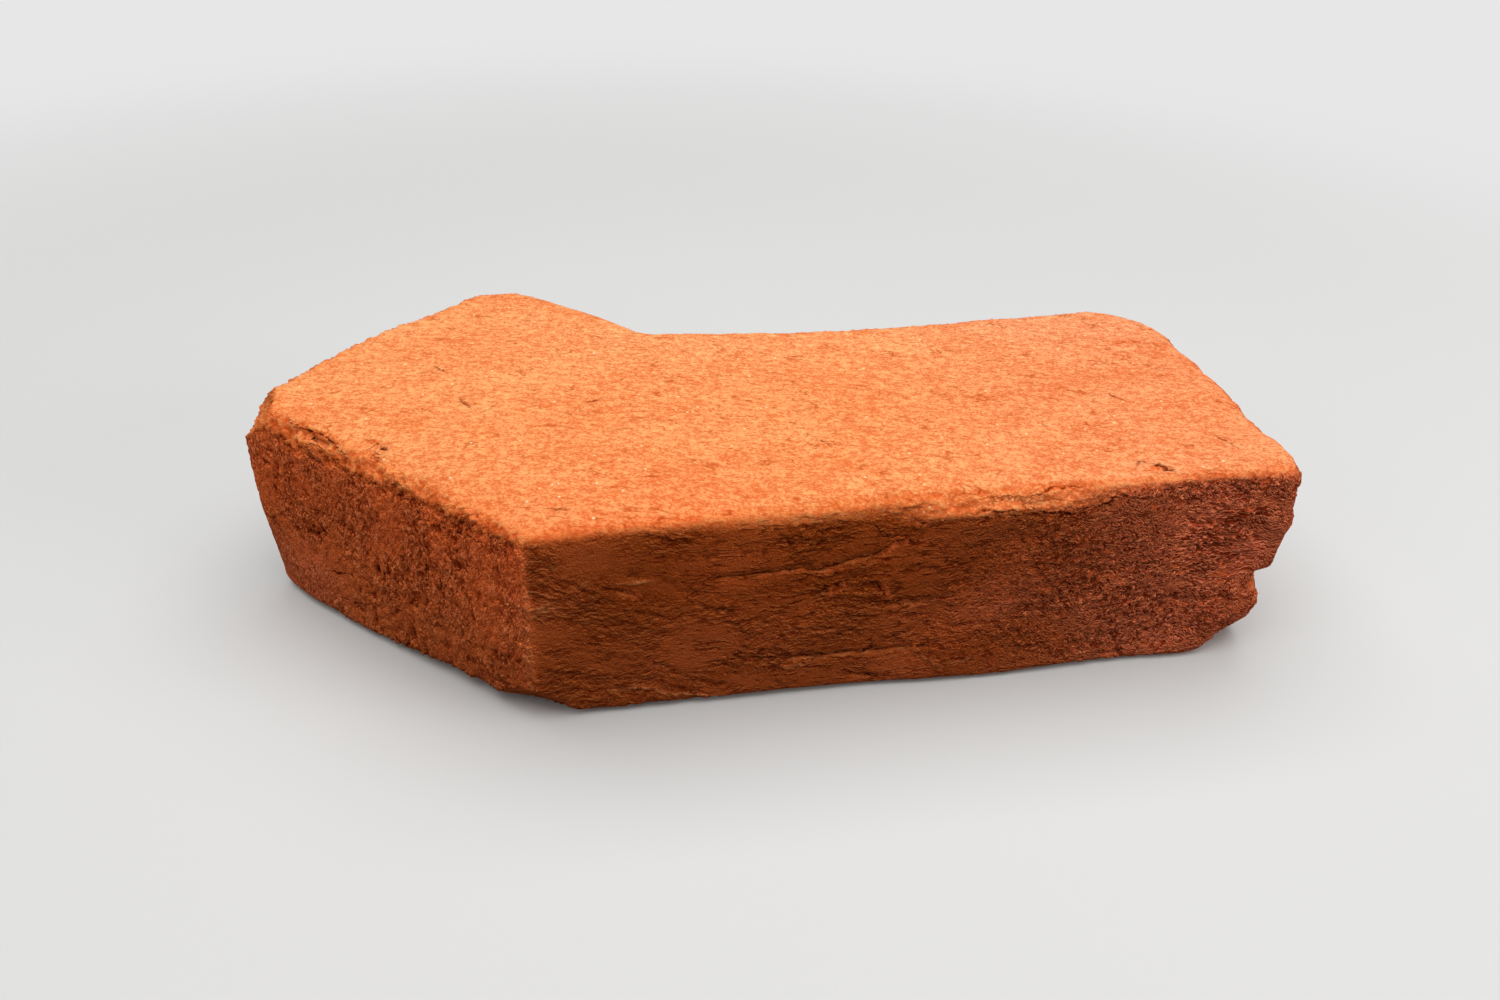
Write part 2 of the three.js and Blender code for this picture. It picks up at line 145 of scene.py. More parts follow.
def fissures(tree, place, size, stretch, width, amount, shift):
    # broken dark lines that run where a wide pattern crosses its middle
    line = noise(tree, place, size, stretch, detail=3.0, roughness=0.55, shift=shift)
    line = bell(tree, maths(tree, "DIVIDE", line, width))
    gate = noise(tree, place, size * 0.8, stretch, detail=1.0, shift=shift + 5)
    gate = ease(tree, gate, 1 - 2 * amount, 1.5 - 2 * amount)
    return product(tree, line, gate)


def shingles(tree, place, size, stretch, shift):
    # overlapping flakes, thin at the top and thick at the lower edge, about -0.5 to 0.5
    scale = Vector([1 / (size * share) for share in stretch])
    moved = vectors(tree, "MULTIPLY_ADD", place, scale, Vector((shift, 1.7 * shift, 2.3 * shift)))
    cells = put(tree, "ShaderNodeTexVoronoi", {"Vector": moved, "Scale": 1.0, "Randomness": 1.0}).outputs
    within = vectors(tree, "SUBTRACT", cells["Position"], moved)
    thickness = put(tree, "ShaderNodeSeparateXYZ", {0: within}).outputs["Z"]
    chosen = put(tree, "ShaderNodeSeparateXYZ", {0: cells["Color"]}).outputs["X"]
    return product(tree, thickness, maths(tree, "ADD", chosen, 0.4))


def makeGroup(name, kind, inputs, outputs):
    tree = bpy.data.node_groups.new(name, kind)
    for label, socket, value in inputs:
        made = tree.interface.new_socket(label, in_out="INPUT", socket_type=socket)
        if value is not None:
            made.default_value = value
    for label, socket in outputs:
        tree.interface.new_socket(label, in_out="OUTPUT", socket_type=socket)
    return tree, tree.nodes.new("NodeGroupInput").outputs, tree.nodes.new("NodeGroupOutput").inputs


view = {
    "place": (-4.8, -270.1, 223.2),
    "yaw": 10.66,               # degrees to the right of +Y
    "pitch": 34.99,             # degrees down
    "roll": 1.65,               # degrees
    "lens": 26.7,               # on a sensor 36 wide
}


def makeCamera():
    yaw, pitch, roll = (radians(view[key]) for key in ("yaw", "pitch", "roll"))
    ahead = Vector((sin(yaw) * cos(pitch), cos(yaw) * cos(pitch), -sin(pitch)))
    right = ahead.cross(Vector((0, 0, 1))).normalized()
    up = right.cross(ahead)
    turn = Matrix((right * cos(roll) + up * sin(roll), up * cos(roll) - right * sin(roll), -ahead))
    data = bpy.data.cameras.new("camera")
    data.lens = view["lens"]
    data.sensor_width = 36
    data.clip_start = 0.01
    camera = bpy.data.objects.new("camera", data)
    camera.matrix_world = Matrix.Translation(Vector(view["place"]) * mm) @ turn.transposed().to_4x4()
    scene.collection.objects.link(camera)
    scene.camera = camera


makeCamera()
say("camera")

# The plan of the brick, for marks that belong to one face. Places on the stretcher face are
# (x, height), on the header face (distance from the bend's centre line, height), on the bed and on its
# rounded rim (x, y).
plan = {
    "halfWidth": 51.25,
    "height": 64,
    "bend": 42,                 # degrees
    "rim drop": 2,
}
bendAngle = radians(plan["bend"])
headerAlong = Vector((-cos(bendAngle), sin(bendAngle), 0))
headerOut = Vector((-sin(bendAngle), -cos(bendAngle), 0))


def onFace(face, a, b):
    # the rim is drawn a little below the bed, where the edge is round
    if face == "stretcher":
        return Vector((a, -plan["halfWidth"], b))
    if face == "header":
        return headerAlong * a + headerOut * plan["halfWidth"] + Vector((0, 0, b))
    return Vector((a, b, plan["height"] - (plan["rim drop"] if face == "rim" else 0)))


# The main marks that the moulder's hands and later knocks left. Each is a run of places on a face,
# and what lies between them wanders by itself.
marks = {
    # clay folded over itself: a groove under a round lip
    "folds": {"width": 0.26, "depth": 0.55, "lip": 0.3, "wander": 0.8, "places": {
        "stretcher": [
            ((10, 49), (27, 45), (46, 45), (55, 44), (68, 47), (75, 52), (84, 53)),
            ((21, 38), (28, 35), (38, 35)),
            ((44, 39), (54, 36), (58, 39), (65, 39)),
            ((66, 41), (71, 37), (75, 32)),
            ((65, 33), (74, 31), (97, 32)),
            ((92, 27), (95, 21), (100, 21), (105, 25)),
            ((25, 19), (46, 15), (70, 14), (95, 15)),
            ((60, 6), (64, 8), (72, 4), (89, 4)),
            ((138, 61), (132, 58), (121, 56), (103, 58), (90, 58)),
        ],
        "header": [
            ((72, 27), (61, 29), (54, 34)),
            ((56, 9), (48, 10), (41, 13)),
            ((32, 25), (32, 16)),
            ((15, 51), (13, 36)),
            ((18, 46), (15, 27)),
        ],
    }},
    # fine drying cracks
    "cracks": {"width": 0.28, "depth": 0.65, "lip": 0.15, "wander": 0.7, "places": {
        "bed": [
            ((-1, 8), (5, 11)),
            ((60, -19), (64, -25)),
            ((-45, 36), (-40, 30)),
            ((-37, 16), (-32, 7)),
            ((-30, 6), (-24, 12)),
            ((150, -6), (155, -11)),
            ((-90, 15), (-80, 6), (-73, 1), (-67, -9), (-62, -14)),
            ((-56, -17), (-54, -26), (-52, -31)),
            ((-60, -9), (-57, -6), (-54, -10)),
            ((-59, -11), (-54, -14)),
            ((-39, -37), (-31, -38)),
            ((-31, -42), (-28, -50), (-26, -55)),
            ((-14, -41), (-6, -43)),
            ((92, -50), (101, -51)),
            ((140, -47), (144, -42), (147, -43)),
            ((170, -31), (174, -41)),
        ],
        "rim": [
            ((95, -52), (104, -51), (108, -53), (118, -49), (127, -50)),
        ],
        "stretcher": [
            ((-6, 46), (9, 41)),
            ((-11, 28), (1, 24)),
            ((81, 26), (89, 25)),
            ((63, 12), (76, 11)),
            ((169, 48), (184, 51)),
            ((169, 46), (182, 47)),
            ((112, 58), (124, 55), (132, 58)),
            ((44, 34), (54, 35)),
            ((99, 42), (101, 38), (99, 34)),
            ((117, 34), (133, 30), (140, 31)),
            ((102, 51), (115, 53)),
            ((130, 47), (144, 51)),
        ],
        "header": [
            ((45, 38), (37, 37)),
            ((61, 16), (54, 18), (45, 20)),
            ((13, 47), (11, 35), (11, 20)),
            ((21, 53), (4, 54), (-18, 55)),
            ((27, 63), (19, 54)),
            ((80, 47), (74, 48)),
        ],
    }},
    # gouges and deeper pits
    "pits": {"width": 0.6, "depth": 1.2, "lip": 0.15, "wander": 1.0, "places": {
        "bed": [
            ((147, -44), (151, -47)),
            ((-6, 3), (-5, 3)),
            ((-55, -8), (-54, -9)),
            ((-80, 6), (-73, 1), (-67, -9)),
            ((-56, -19), (-54, -26), (-52, -31)),
        ],
        "stretcher": [
            ((127, 6), (131, 6)),
            ((141, 5), (148, 4)),
        ],
        "header": [
            ((37, 29), (37, 25)),
            ((35, 24), (30, 30)),
            ((26, 24), (24, 21), (26, 17)),
            ((32, 13), (29, 18)),
            ((12, 33), (13, 29)),
            ((12, 23), (12, 20)),
            ((79, 48), (74, 48)),
            ((56, 57), (49, 57)),
        ],
    }},
    # thin raised burrs of clay
    "burrs": {"width": 0.5, "depth": -0.6, "lip": 0.0, "wander": 0.5, "places": {
        "stretcher": [
            ((-19.5, 58), (-20, 30), (-20.5, 5)),
            ((-20, 39), (-12, 41)),
            ((-20, 39), (-11, 38)),
            ((-3, 8), (8, 9), (15, 5), (34, 2)),
            ((85, 12), (93, 5)),
            ((93, 7), (103, 9)),
            ((44, 11), (56, 12)),
            ((2, 45), (13, 45)),
        ],
        "header": [
            ((9, 50), (9, 34)),
            ((7, 41), (6, 37)),
        ],
    }},
}


def markCurve(name, mark):
    data = bpy.data.curves.new(name, "CURVE")
    data.dimensions = "3D"
    for face, lines in mark["places"].items():
        for line in lines:
            places = [onFace(face, *place) for place in line]
            if len(places) == 2:
                places.insert(1, (places[0] + places[1]) / 2)
            spline = data.splines.new("POLY")
            spline.points.add(len(places) - 1)
            for i, place in enumerate(places):
                spline.points[i].co = (*(place * mm), 1)
                spline.points[i].radius = 0.0 if i in (0, len(places) - 1) else 1.0
    curve = bpy.data.objects.new(name, data)
    scene.collection.objects.link(curve)
    return curve


# Spans over which an effect comes or goes: along x, y or the height, or along the header face and
# out towards it.
spans = {
    "knocked end": (168, 182),
    "knocked end height": (34, 52),
    "header edge": (42, 48),
    "header edge height": (52, 60),
    "header strip": (43, 49),
    "front arris": (-48, -44),
    "front arris height": (50, 58),
    "front arris start": (66, 84),
    "front arris end": (118, 140),
    "rolled height": (56.5, 58.5),
    "rolled start": (70, 88),
    "rolled end": (120, 134),
    "curly clay": (65, 140),
    "knobs": (140, 180),
    "calm bend": (0, 45),
    "last curls": (176, 186),
    "curls above foot": (3, 11),
    "smooth header": (50, 66),
    "smooth header height": (16, 28),
    "upright bands": (30, 55),
    "header end": (74, 84),
    "rim by bend": (-24, -12),
    "worn rim": (50, 80),
    "worn rim end": (165, 180),
    "worn rim height": (4, 20),
    # in the material alone
    "combed start": (146, 164),
    "combed end": (180, 185),
    "combed foot": (20, 32),
    "combed top": (50, 58),
    "streaked height": (10, 50),
    "soft swells": (5, 55),
    "first rows": (12, 35),
    "first rows end": (85, 115),
    "far rows": (140, 158),
    "far rows height": (18, 28),
    "cracked side": (-5, 35),
    "bed past bend": (-40, 30),
    "header low": (12, 50),
    "shade height": (22, 42),
    "shade start": (-12, 12),
    "shade end": (110, 150),
    "low shade height": (12, 28),
    "low shade start": (78, 95),
    "low shade end": (122, 142),
    "header foot": (45, 68),
    "side bend": (-16, 14),
    "pink end": (60, 165),
    "far side": (0, 50),
    "bed front": (-48, -18),
    "bed front start": (-48, -30),
    "bed front end": (20, 55),
}

relief = {
    "voxel": 0.45,              # fineness of the skin before it is thinned
    "smoothing": 20,            # passes that take the solid's facets away
    "triangles": 194000,
    "bed sink": 0.3,            # the skin starts this far inside the solid
    "side sink": -0.1,
    # places where the clay swells out: the middle, then how far it reaches and how high
    "swellings": [((186, -40, 63), 11, 1.2), ((187, -50, 47), 10, 1.4), ((184, -50, 12), 14, 1.0),
                  ((160, -50, 3), 22, 0.5), ((-92, 24, 63), 12, 1.8)],
    "wave height": 0.3,
    "knob height": 0.5,
    "flake height": 0.5,
    "flake size": 4.0,
    "wrinkle height": 0.42,
    "wrinkle size": 2.2,
    "fissure depth": 0.6,
    "grain height": 1.4,
    "grain size": 2.3,
    "header height": 0.62,
    "bed height": 0.07,
    "pit depth": 0.2,
    "rim height": 0.8,
    "rounding": 70,             # passes that round the knocked edges
    "facing": (0.72, 0.93),     # how squarely the clay faces a direction, as a cosine
    "kept width": 0.9,          # nearer to a mark than this, nothing is thinned
    "kept strength": 0.15,      # where the mark is at least as strong as this
}

# The form of a mark, in widths of it from its middle line: its lip, and a shallower line beside it.
groove = {
    "lip place": -1.9,
    "lip sharpness": 0.9,
    "beside place": 4.4,
    "beside sharpness": 0.8,
    "beside share": 0.8,        # its depth, as a share of the lip's height
    "spacing": 0.3,             # between the points that a mark is measured from
    "drift": 4,                 # how far a mark wanders, times its own wander
    "reach": (5.0, 9.0),        # where a mark stops being felt
    "reach on face": (3.0, 4.5),
}


# what the relief's node tree takes as inputs of its own
reliefInputs = (
    "bed sink", "side sink", "wave height", "knob height", "flake height", "wrinkle height",
    "fissure depth", "grain height", "header height", "bed height", "pit depth", "rim height",
)


def faceMask(tree, normal, direction):
    return ease(tree, vectors(tree, "DOT_PRODUCT", normal, direction), *relief["facing"])


def scaled(tree, vector, amount):
    node = put(tree, "ShaderNodeVectorMath", {0: vector, "Scale": amount}, operation="SCALE")
    return node.outputs["Vector"]


# How far each point is from the nearest mark, in millimetres, above it or below it, and how
# strong the mark is there.
def markGroup():
    tree, given, result = makeGroup("nearest mark", "GeometryNodeTree", [
        ("Marks", "NodeSocketObject", None),
        ("Place", "NodeSocketVector", None),
        ("Normal", "NodeSocketVector", None),
        ("Wander", "NodeSocketFloat", 0.5),
    ], [("Distance", "NodeSocketFloat"), ("Strength", "NodeSocketFloat")])
    curve = put(tree, "GeometryNodeObjectInfo", {"Object": given["Marks"]}).outputs["Geometry"]
    points = put(tree, "GeometryNodeCurveToPoints", {
        "Curve": curve, "Length": groove["spacing"] * mm,
    }, mode="LENGTH")
    here = put(tree, "GeometryNodeInputPosition").outputs[0]
    drift = put(tree, "ShaderNodeTexNoise", {
        "Vector": scaled(tree, here, 1 / mm), "Scale": 0.35, "Detail": 2.0,
    })
    drift = vectors(tree, "SUBTRACT", drift.outputs["Color"], Vector((0.5, 0.5, 0.5)))
    drifting = put(tree, "GeometryNodeSetPosition", {
        "Geometry": points.outputs["Points"],
        "Offset": scaled(tree, drift, product(tree, given["Wander"], groove["drift"] * mm)),
    }).outputs[0]
    nearest = put(tree, "GeometryNodeSampleNearest", {"Geometry": drifting}, domain="POINT").outputs[0]

    def sample(value, kind):
        node = put(tree, "GeometryNodeSampleIndex", {
            "Geometry": drifting, "Index": nearest,
        }, data_type=kind, domain="POINT")
        tree.links.new(value, node.inputs["Value"])
        return node.outputs["Value"]

    spot = scaled(tree, sample(here, "FLOAT_VECTOR"), 1 / mm)
    radius = sample(put(tree, "GeometryNodeInputRadius").outputs[0], "FLOAT")
    away = vectors(tree, "SUBTRACT", given["Place"], spot)
    rise = vectors(tree, "DOT_PRODUCT", away, given["Normal"])
    flat = vectors(tree, "SUBTRACT", away, scaled(tree, given["Normal"], rise))
    distance = vectors(tree, "LENGTH", flat)
    tangent = sample(points.outputs["Tangent"], "FLOAT_VECTOR")
    side = maths(tree, "SIGN", vectors(tree, "DOT_PRODUCT", vectors(tree, "CROSS_PRODUCT", tangent, flat),
                                       given["Normal"]))
    near = product(tree, fade(tree, vectors(tree, "LENGTH", away), *groove["reach"]),
                   fade(tree, distance, *groove["reach on face"]))
    broken = noise(tree, given["Place"], 2.6, detail=2.0, roughness=0.7, shift=15.1)
    broken = ramp(tree, broken, -0.7, 0.4, 0.25, 1.0)
    tree.links.new(product(tree, distance, side), result["Distance"])
    tree.links.new(product(tree, near, radius, broken), result["Strength"])
    return tree


def grooveHeight(tree, mark, distance, strength):
    # a groove, or a burr where the depth is below zero, with a lip on its lower side
    across = maths(tree, "DIVIDE", distance, mark["width"])
    middle = bell(tree, across)
    lip = bell(tree, maths(tree, "SUBTRACT", across, groove["lip place"]), groove["lip sharpness"])
    beside = bell(tree, maths(tree, "SUBTRACT", across, groove["beside place"]), groove["beside sharpness"])
    height = total(tree, product(tree, middle, -mark["depth"]), product(tree, lip, mark["lip"]),
                   product(tree, beside, -groove["beside share"] * mark["lip"]))
    return product(tree, height, strength), product(tree, middle, strength)


def reliefGroup(material):
    tree, given, result = makeGroup("clay relief", "GeometryNodeTree", [
        ("Geometry", "NodeSocketGeometry", None),
        *((name.title(), "NodeSocketFloat", relief[name]) for name in reliefInputs),
        *((name, "NodeSocketObject", None) for name in marks),
    ], [("Geometry", "NodeSocketGeometry")])
    # knocks have rounded the long end, most of all its upper corner, and parts of the upper edges
    here = put(tree, "GeometryNodeInputPosition").outputs[0]
    place = scaled(tree, here, 1 / mm)
    x, y, z = put(tree, "ShaderNodeSeparateXYZ", {0: place}).outputs
    corner = product(tree, ease(tree, x, *spans["knocked end"]),
                     ease(tree, z, *spans["knocked end height"], 0.2, 1.0))
    edge = product(tree, ease(tree, vectors(tree, "DOT_PRODUCT", place, headerOut), *spans["header edge"]),
                   ease(tree, z, *spans["header edge height"]),
                   ease(tree, noise(tree, place, 14, detail=1.0, shift=41.2), -0.6, 0.6, 0.03, 0.35))
    arris = product(tree, fade(tree, y, *spans["front arris"]),
                    ease(tree, z, *spans["front arris height"]),
                    ease(tree, x, *spans["front arris start"]),
                    ease(tree, x, *spans["front arris end"], 0.03, 0.0))
    softened = put(tree, "GeometryNodeBlurAttribute", {
        "Iterations": relief["rounding"], "Weight": maths(tree, "MAXIMUM", corner, total(tree, edge, arris)),
    }, data_type="FLOAT_VECTOR")
    blurred = next(socket for socket in softened.inputs if socket.name == "Value" and socket.enabled)
    tree.links.new(here, blurred)
    softened = next(socket for socket in softened.outputs if socket.enabled)
    given = {**dict(given.items()), "Geometry": put(tree, "GeometryNodeSetPosition", {
        "Geometry": given["Geometry"], "Position": softened}).outputs[0]}
    place = scaled(tree, put(tree, "GeometryNodeInputPosition").outputs[0], 1 / mm)
    normal = put(tree, "GeometryNodeInputNormal").outputs[0]
    x, y, z = put(tree, "ShaderNodeSeparateXYZ", {0: place}).outputs
    upright = maths(tree, "ABSOLUTE", put(tree, "ShaderNodeSeparateXYZ", {0: normal}).outputs["Z"])
    bed = ease(tree, upright, 0.3, 0.9)
    side = opposite(tree, bed)
    header = product(tree, faceMask(tree, normal, headerOut), side)
    rolled = product(tree, ease(tree, upright, 0.05, 0.2), ease(tree, z, *spans["rolled height"]),
                     ease(tree, x, *spans["rolled start"]), fade(tree, x, *spans["rolled end"]))
    longSide = maths(tree, "SUBTRACT", side, header)
    granular = product(tree, ease(tree, x, *spans["curly clay"]), longSide)
    wrinkled = maths(tree, "SUBTRACT", longSide, product(tree, granular, 0.5))

    # places wander a little, so that wrinkles are never quite level, and near the bend they slope
    warp = put(tree, "ShaderNodeTexNoise", {"Vector": place, "Scale": 0.06, "Detail": 2.0}).outputs["Color"]
    warp = vectors(tree, "SUBTRACT", warp, Vector((0.5, 0.5, 0.5)))
    slope = product(tree, maths(tree, "MINIMUM", maths(tree, "SUBTRACT", x, 40), 0.0), 0.25)
    sloped = vectors(tree, "ADD", place, put(tree, "ShaderNodeCombineXYZ", {2: slope}).outputs[0])
    warped = vectors(tree, "MULTIPLY_ADD", warp, Vector((7, 7, 12)), sloped)

    wave = product(tree, noise(tree, place, 26, detail=1.0, shift=3.1), given["Wave Height"])
    knobs = product(tree, noise(tree, place, 8, detail=1.0, shift=23.1),
                    ease(tree, x, *spans["knobs"]), side, given["Knob Height"])

    # overlapping flakes and wrinkles, which fade out in smoother patches and towards the bend
    size = relief["flake size"]
    calm = ease(tree, x, *spans["calm bend"], 0.75, 1.0)
    rough = ease(tree, noise(tree, place, 13, (1.7, 1.7, 1), detail=2.0, shift=7.7), -0.6, 0.4, 0.12, 1.0)
    patches = product(tree, rough, calm, wrinkled)
    flakes = total(tree, shingles(tree, warped, size, (1.5, 1.5, 1), 1.3),
                   product(tree, shingles(tree, warped, size * 0.5, (1.4, 1.4, 1), 6.2), 0.5))
    flakes = product(tree, flakes, given["Flake Height"], patches)
    wrinkles = billows(tree, warped, relief["wrinkle size"], (1.5, 1.5, 1),
                       detail=2.0, roughness=0.6, shift=5.2)
    wrinkles = product(tree, maths(tree, "SUBTRACT", wrinkles, 0.7), given["Wrinkle Height"], patches)
    gaps = fissures(tree, warped, 8.0, (2.4, 2.4, 1), 0.07, 0.4, 21.3)
    gaps = product(tree, gaps, given["Fissure Depth"], -1.0, longSide, calm)

    # towards the long end the folds give way to curly grains
    size = relief["grain size"]
    loose = ease(tree, noise(tree, place, 13, (1.5, 1.5, 1), detail=1.0, shift=17.7), -0.7, 0.3, 0.4, 1.0)
    loose = product(tree, loose, ease(tree, x, *spans["last curls"], 1.0, 0.25),
                    ease(tree, z, *spans["curls above foot"], 0.3, 1.0))
    grains = billows(tree, warped, size, (1.2, 1.2, 1), detail=3.0, roughness=0.6, distortion=1.0, shift=4.4)
    grains = product(tree, maths(tree, "SUBTRACT", grains, 0.7), given["Grain Height"], granular, loose)

    # the header face was dragged out of its mould: crumbs and hollows, and upright bands near the bend
    fromBend = vectors(tree, "DOT_PRODUCT", place, headerAlong)
    smoother = product(tree, ease(tree, fromBend, *spans["smooth header"]),
                       ease(tree, z, *spans["smooth header height"], 0.75, 0.0))
    bands = product(tree, noise(tree, warped, 2.4, (1, 1, 7), detail=2.0, roughness=0.55, shift=2.2),
                    ease(tree, fromBend, *spans["upright bands"], 0.5, 0.0))
    crumble = noise(tree, warped, 2.4, (1, 1, 1.3), detail=4.0, roughness=0.65, shift=7.4)
    hollows = ease(tree, noise(tree, place, 3.0, (1, 1, 1.3), detail=2.0, shift=27.4), 0.5, 1.3)
    hollows = product(tree, hollows, ease(tree, noise(tree, place, 17, detail=1.0, shift=31.4), -0.4, 0.6))
    dragged = total(tree, bands, product(tree, crumble, 0.75), product(tree, hollows, -1.8))
    dragged = product(tree, dragged, opposite(tree, smoother), given["Header Height"], header,
                      ease(tree, fromBend, *spans["header end"], 1.0, 0.3))

    bedForm = noise(tree, place, 4.2, (1.3, 1, 1), detail=1.0, shift=8.3)
    bedForm = product(tree, bedForm, given["Bed Height"], bed)
    holes = ease(tree, noise(tree, place, 2.6, (1.5, 1, 1), detail=1.0, shift=11.9), 0.7, 1.1)
    pits = product(tree, holes, bed, given["Pit Depth"], -1.0)

    # rounded edges are crumbly, and so is the strip of the bed along the header face
    rim = product(tree, ease(tree, upright, 0.1, 0.35), fade(tree, upright, 0.85, 0.98))
    strip = product(tree, ease(tree, vectors(tree, "DOT_PRODUCT", place, headerOut), *spans["header strip"]),
                    bed, 0.7)
    worn = total(tree, ease(tree, x, *spans["rim by bend"], 1.0, 0.12),
                 ease(tree, x, *spans["worn rim"], 0.0, 0.4))
    worn = product(tree, worn, ease(tree, z, *spans["worn rim height"], 0.3, 1.0),
                   ease(tree, x, *spans["worn rim end"], 1.0, 0.4))
    crumbs = total(tree, billows(tree, place, 5.0, detail=3.0, roughness=0.6, shift=12.5),
                   product(tree, noise(tree, place, 2.2, detail=4.0, roughness=0.65, shift=13.3), 0.5), -0.75)
    crumbs = product(tree, crumbs, given["Rim Height"], maths(tree, "MAXIMUM", rim, strip), worn)
    fineCrumbs = billows(tree, place, 1.7, detail=2.0, roughness=0.6, shift=33.5)
    fineCrumbs = product(tree, maths(tree, "SUBTRACT", fineCrumbs, 0.7), 0.3, rim, worn)

    markNodes = markGroup()
    heights = [flakes, wrinkles, gaps, grains, dragged, bedForm, pits, crumbs, fineCrumbs]
    stored = given["Geometry"]
    for name, mark in marks.items():
        node = put(tree, "GeometryNodeGroup", node_tree=markNodes)
        for label, value in (("Marks", given[name]), ("Place", place), ("Normal", normal),
                             ("Wander", mark["wander"])):
            feed(tree, node.inputs[label], value)
        distance, strength = node.outputs["Distance"], node.outputs["Strength"]
        heights.append(grooveHeight(tree, mark, distance, strength)[0])
        both = put(tree, "ShaderNodeCombineXYZ", {0: distance, 1: strength}).outputs[0]
        stored = put(tree, "GeometryNodeStoreNamedAttribute", {
            "Geometry": stored, "Name": name, "Value": both,
        }, data_type="FLOAT_VECTOR", domain="POINT").outputs[0]
    swellings = []
    for middle, reach, swell in relief["swellings"]:
        away = vectors(tree, "LENGTH", vectors(tree, "SUBTRACT", place, Vector(middle)))
        swellings.append(ease(tree, away, 0.2 * reach, reach, swell, 0.0))
    form = total(tree, *heights)
    height = total(tree, wave, knobs, *heights, *swellings, product(tree, bed, given["Bed Sink"], -1.0),
                   product(tree, side, given["Side Sink"], -1.0))
    # the material reads these
    masks = {
        "bed": maths(tree, "MAXIMUM", bed, rolled),
        "header": header,
        "granular": granular,
        "form": form,
        "crumbly": maths(tree, "MAXIMUM", rim, strip),
        "rough": rough,
    }
    for label, value in masks.items():
        stored = put(tree, "GeometryNodeStoreNamedAttribute", {
            "Geometry": stored, "Name": label, "Value": value,
        }, data_type="FLOAT", domain="POINT").outputs[0]
    moved = put(tree, "GeometryNodeSetPosition", {
        "Geometry": stored, "Offset": scaled(tree, normal, product(tree, height, mm)),
    }).outputs[0]
    smooth = put(tree, "GeometryNodeSetShadeSmooth", {"Geometry": moved}).outputs[0]
    real = put(tree, "GeometryNodeRealizeInstances", {"Geometry": smooth}).outputs[0]
    finish = put(tree, "GeometryNodeSetMaterial", {"Geometry": real, "Material": material})
    tree.links.new(finish.outputs[0], result["Geometry"])
    return tree


def applied(piece):
    # the evaluated mesh of a piece, as a plain mesh of its own
    depsgraph = bpy.context.evaluated_depsgraph_get()
    mesh = bpy.data.meshes.new_from_object(piece.evaluated_get(depsgraph), depsgraph=depsgraph)
    mesh.name = piece.name
    return mesh


def markedPoints(mesh):
    marked = np.zeros(len(mesh.vertices), bool)
    for name in marks:
        values = np.empty(len(mesh.vertices) * 3, np.float32)
        mesh.attributes[name].data.foreach_get("vector", values)
        distance, strength, _ = values.reshape(-1, 3).T
        marked |= (np.abs(distance) < relief["kept width"]) & (strength > relief["kept strength"])
    return marked


def makeBrick(material):
    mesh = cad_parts["brick"].data.copy()
    form = bmesh.new()
    form.from_mesh(mesh)
    bmesh.ops.remove_doubles(form, verts=form.verts, dist=0.001 * mm)
    form.to_mesh(mesh)
    form.free()
    mesh.materials.clear()
    mesh.materials.append(material)
    piece = bpy.data.objects.new("moulded_brick", mesh)
    scene.collection.objects.link(piece)
    voxels = piece.modifiers.new("voxels", "REMESH")
    voxels.mode = "VOXEL"
    voxels.voxel_size = relief["voxel"] * mm * 1
    voxels.use_smooth_shade = True
    smoothing = piece.modifiers.new("smoothing", "SMOOTH")
    smoothing.factor = 0.5
    smoothing.iterations = relief["smoothing"]
    nodes = piece.modifiers.new("relief", "NODES")
    nodes.node_group = reliefGroup(material)
    curves = {name: markCurve(name, mark) for name, mark in marks.items()}
    for socket in nodes.node_group.interface.items_tree:
        if socket.in_out == "INPUT" and socket.name in curves:
            nodes[socket.identifier] = curves[socket.name]
    piece.data = applied(piece)
    piece.modifiers.clear()
    for curve in curves.values():
        bpy.data.objects.remove(curve)
    say("relief on %d points" % len(piece.data.vertices))
    piece.data.calc_loop_triangles()
    thinning = piece.modifiers.new("thinning", "DECIMATE")
    thinning.ratio = min(1.0, relief["triangles"] / len(piece.data.loop_triangles))
    thinning.use_collapse_triangulate = True
    # only points away from the marks are thinned, so that the marks stay crisp
    spared = piece.vertex_groups.new(name="away from marks")
    spared.add(np.flatnonzero(~markedPoints(piece.data)).tolist(), 1.0, "REPLACE")
    thinning.vertex_group = spared.name
    piece.data = applied(piece)
    piece.modifiers.clear()
    piece.vertex_groups.clear()
    dropBubbles(piece.data)
    keepInside(piece.data)
    say("brick of %d triangles" % len(piece.data.polygons))
    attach(piece, "root")
    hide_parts("brick")
    return piece


def dropBubbles(mesh):
    # the voxels can close a small bubble inside the clay, so only the outer skin is kept
    form = bmesh.new()
    form.from_mesh(mesh)
    skin, front = set(), {min(form.verts, key=lambda vert: vert.co.x)}
    while front:
        skin |= front
        front = {edge.other_vert(vert) for vert in front for edge in vert.link_edges} - skin
    bubbles = [vert for vert in form.verts if vert not in skin]
    bmesh.ops.delete(form, geom=bubbles, context="VERTS")
    say("%d points of bubbles dropped" % len(bubbles))
    form.to_mesh(mesh)
    form.free()


def keepInside(mesh):
    places = np.empty(len(mesh.vertices) * 3, np.float32)
    mesh.vertices.foreach_get("co", places)
    low, high = (np.array(corner, np.float32) for corner in cadBox)
    places = np.clip(places.reshape(-1, 3), low, high)
    mesh.vertices.foreach_set("co", places.ravel())
    mesh.update()


